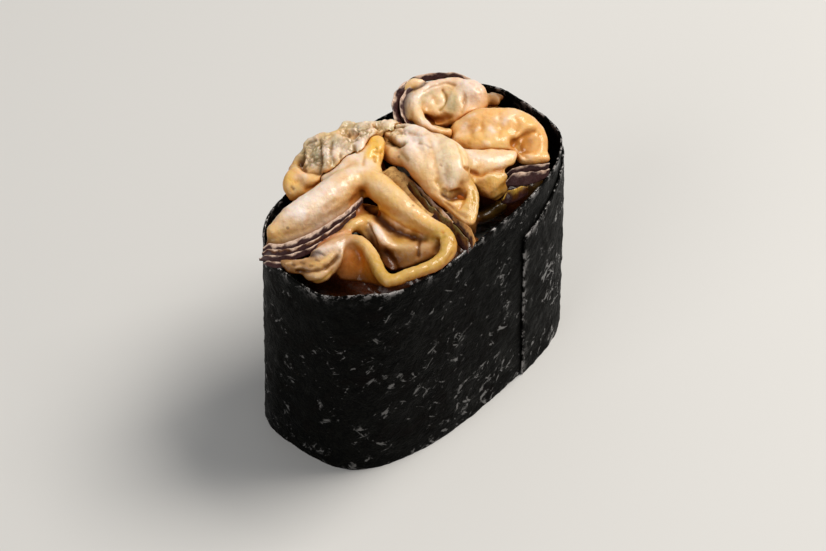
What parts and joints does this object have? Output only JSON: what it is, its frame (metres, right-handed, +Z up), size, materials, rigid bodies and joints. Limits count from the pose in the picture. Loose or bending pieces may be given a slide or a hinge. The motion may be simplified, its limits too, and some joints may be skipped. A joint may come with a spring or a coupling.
{
  "type": "gunkan sushi topped with mussels",
  "caption": "Oval gunkan sushi: pressed rice wrapped in a tall nori band, with cooked mussels heaped in its open top.",
  "frame": {"origin": "the middle of the underside, at the centre of the nori band's oval", "axes": "+Z up, +X along the oval's length towards the end with the nori's outer turn, -X towards the large opened mussel; the nori's cut end is on the -Y side"},
  "size_m": [0.0474, 0.0277, 0.0391],
  "materials": {
    "nori": "toasted seaweed sheet, near black with a green-brown cast, crinkled fibres that glint",
    "rice": null,
    "mussel_flesh": null,
    "mussel_gill": null,
    "mussel_orange": null
  },
  "bodies": {
    "root": {"nori_band": "nori", "rice": "rice", "mussel_front": "mussel_flesh", "mussel_middle": "mussel_flesh", "mussel_frilly": "mussel_gill", "mussel_right": "mussel_orange", "mussel_curled": "mussel_flesh"}
  },
  "joints": []
}
